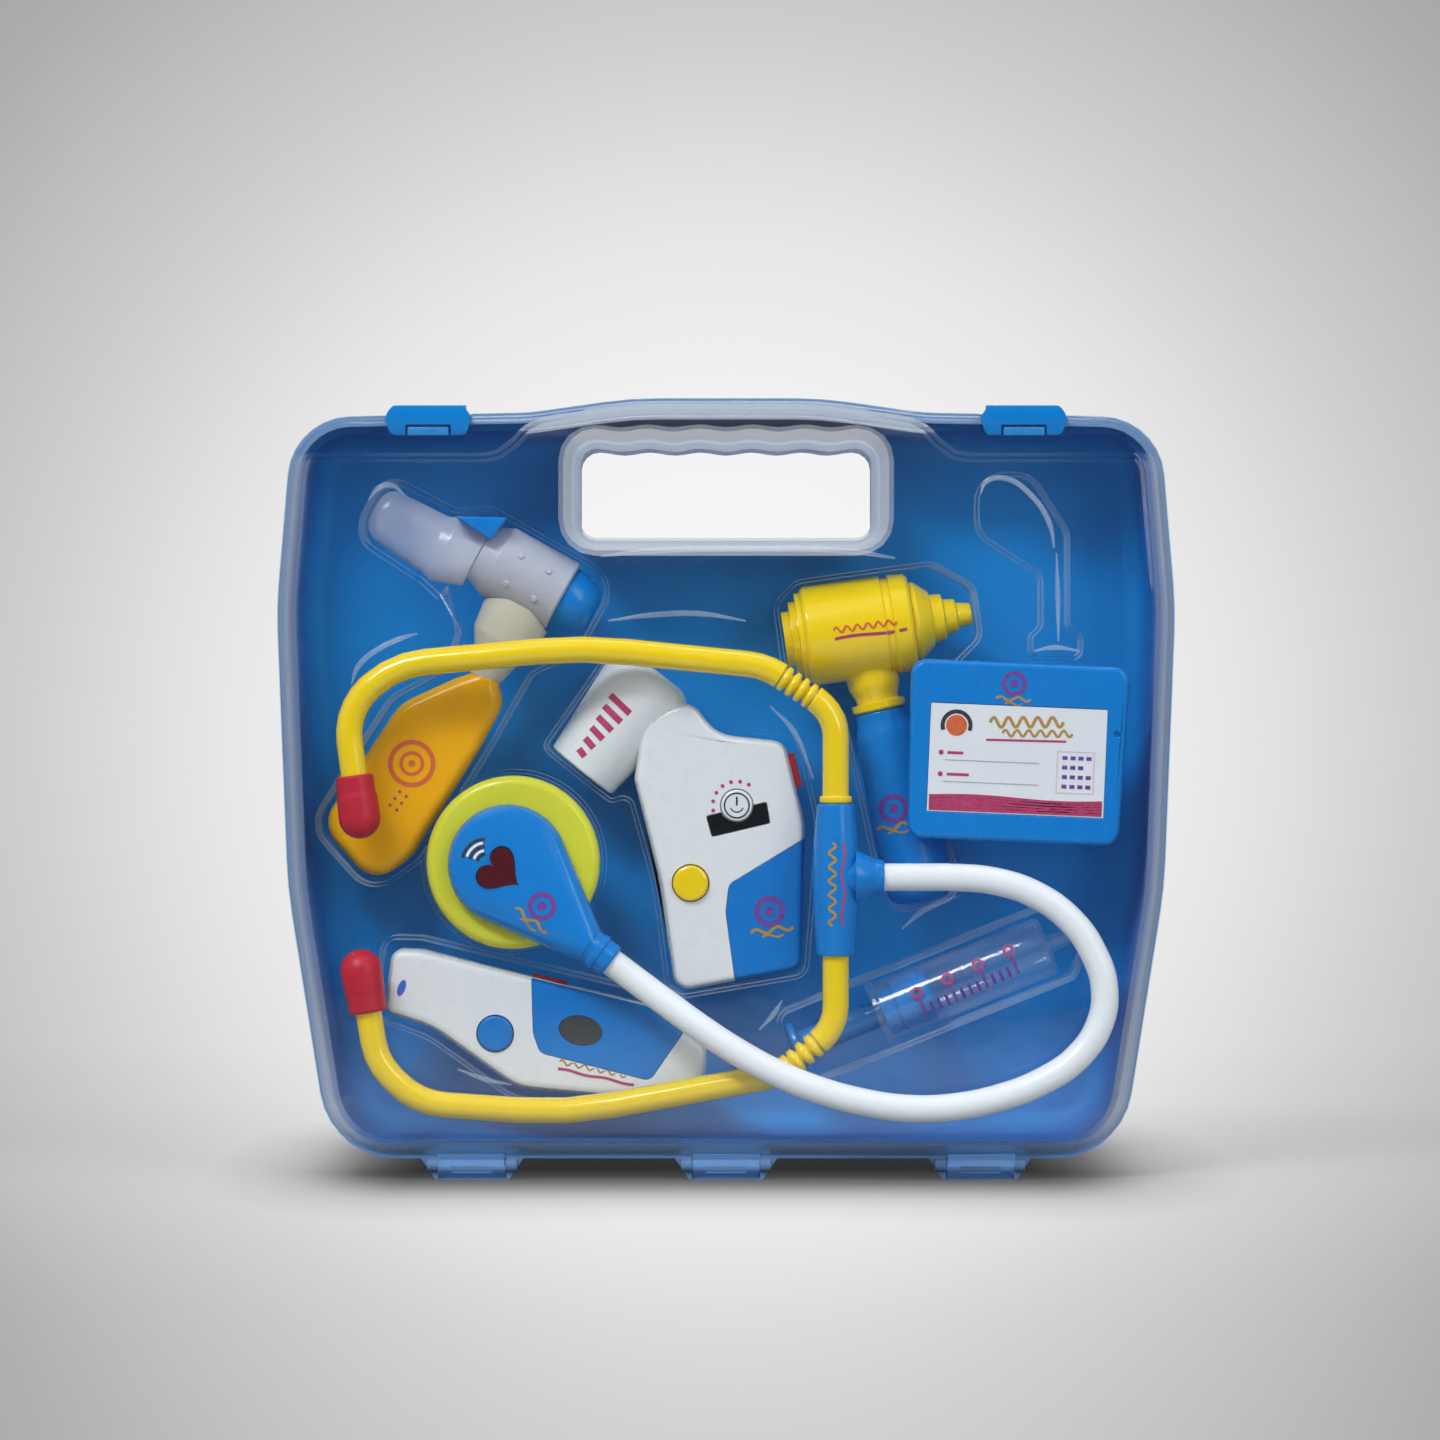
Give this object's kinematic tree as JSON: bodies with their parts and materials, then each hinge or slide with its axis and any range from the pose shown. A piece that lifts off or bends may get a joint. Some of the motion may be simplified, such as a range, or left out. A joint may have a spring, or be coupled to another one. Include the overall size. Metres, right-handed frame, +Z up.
{
  "type": "toy doctor case",
  "caption": "Hinged carry case with a clear lid, hand hole and swing latches, holding toy doctor instruments in a clear formed tray.",
  "frame": {"origin": "on the table at the middle of the case's width and depth, where it stands on its hinge edge", "axes": "+X across the case to the right as seen from the clear lid, +Y towards the blue back, +Z up to the handle"},
  "size_m": [0.2826, 0.064, 0.246],
  "materials": {
    "blue_shell": "moulded satin blue",
    "clear_lid": "clear moulded polystyrene",
    "blue_gloss": "moulded blue",
    "clear_tray": "thin clear formed sheet",
    "yellow": "moulded yellow",
    "red_soft": "soft red vinyl",
    "white_hose": "soft white vinyl hose",
    "lime": "moulded lime yellow",
    "milky": "milky translucent",
    "ruby": "dark red translucent lens",
    "white": "moulded white",
    "dark": "dark window",
    "red": "moulded red",
    "amber": "moulded yellow-orange",
    "pale_blue": "pale blue translucent",
    "card": "printed card"
  },
  "bodies": {
    "base": {"base_shell": "blue_shell", "tray": "clear_tray", "ear_tube_upper": "yellow", "ear_tube_lower": "yellow", "ear_tip_upper": "red_soft", "ear_tip_lower": "red_soft", "yoke": "blue_gloss", "hose": "white_hose", "chest_disc": "lime", "chest_diaphragm": "milky", "chest_cap": "blue_gloss", "gun_front": "white", "gun_rear": "white", "gun_panel": "blue_gloss", "gun_lens": "dark", "gun_window": "dark", "thermo_front": "white", "thermo_rear": "white", "thermo_panel": "blue_gloss", "thermo_display": "dark", "hammer_handle": "amber", "hammer_socket": "milky", "hammer_sleeve": "milky", "hammer_core": "blue_gloss", "hammer_tip": "milky", "scope_head": "yellow", "scope_nozzle": "yellow", "scope_handle": "blue_gloss", "syringe_barrel": "clear_lid", "badge_frame": "blue_gloss", "badge_card": "card"},
    "lid": {"lid_shell": "clear_lid"},
    "latch_l": {"latch_left": "blue_gloss"},
    "latch_r": {"latch_right": "blue_gloss"},
    "plunger": {"syringe_plunger": "pale_blue", "syringe_piston": "blue_gloss"},
    "gun_button": {"gun_button": "yellow"},
    "gun_dial": {"gun_dial": "white"},
    "gun_trigger": {"gun_trigger": "red"},
    "thermo_button": {"thermo_button": "blue_gloss"},
    "thermo_switch": {"thermo_switch": "red"},
    "heart_button": {"chest_heart": "ruby"}
  },
  "joints": [
    {"name": "lid_hinge", "type": "hinge", "parent": "base", "child": "lid", "pos_m": [0, -0.00615, 0.0046], "axis": [1, 0, 0], "range_deg": [0, 94]},
    {"name": "latch_left_hinge", "type": "hinge", "parent": "base", "child": "latch_l", "pos_m": [-0.0935, 0.004, 0.2423], "axis": [-1, 0, 0], "range_deg": [0, 90]},
    {"name": "latch_right_hinge", "type": "hinge", "parent": "base", "child": "latch_r", "pos_m": [0.0935, 0.004, 0.2423], "axis": [-1, 0, 0], "range_deg": [0, 90]},
    {"name": "plunger_slide", "type": "slide", "parent": "base", "child": "plunger", "axis": [0.9272, 0, 0.3746], "range_m": [0, 0.023]},
    {"name": "gun_button_press", "type": "slide", "parent": "base", "child": "gun_button", "axis": [0, 1, 0], "range_m": [0, 0.0012], "stiffness_N_per_m": 60},
    {"name": "gun_dial_turn", "type": "hinge", "parent": "base", "child": "gun_dial", "pos_m": [0.0034, -0.002, 0.1178], "axis": [0, 1, 0], "continuous": true},
    {"name": "gun_trigger_pull", "type": "slide", "parent": "base", "child": "gun_trigger", "axis": [-0.9701, 0, -0.2425], "range_m": [0, 0.0015], "stiffness_N_per_m": 80},
    {"name": "thermo_button_press", "type": "slide", "parent": "base", "child": "thermo_button", "axis": [0, 1, 0], "range_m": [0, 0.0012], "stiffness_N_per_m": 60},
    {"name": "thermo_switch_slide", "type": "slide", "parent": "base", "child": "thermo_switch", "axis": [0.9711, 0, -0.2387], "range_m": [0, 0.003]},
    {"name": "heart_press", "type": "slide", "parent": "base", "child": "heart_button", "axis": [0, 1, 0], "range_m": [0, 0.0012], "stiffness_N_per_m": 60}
  ]
}
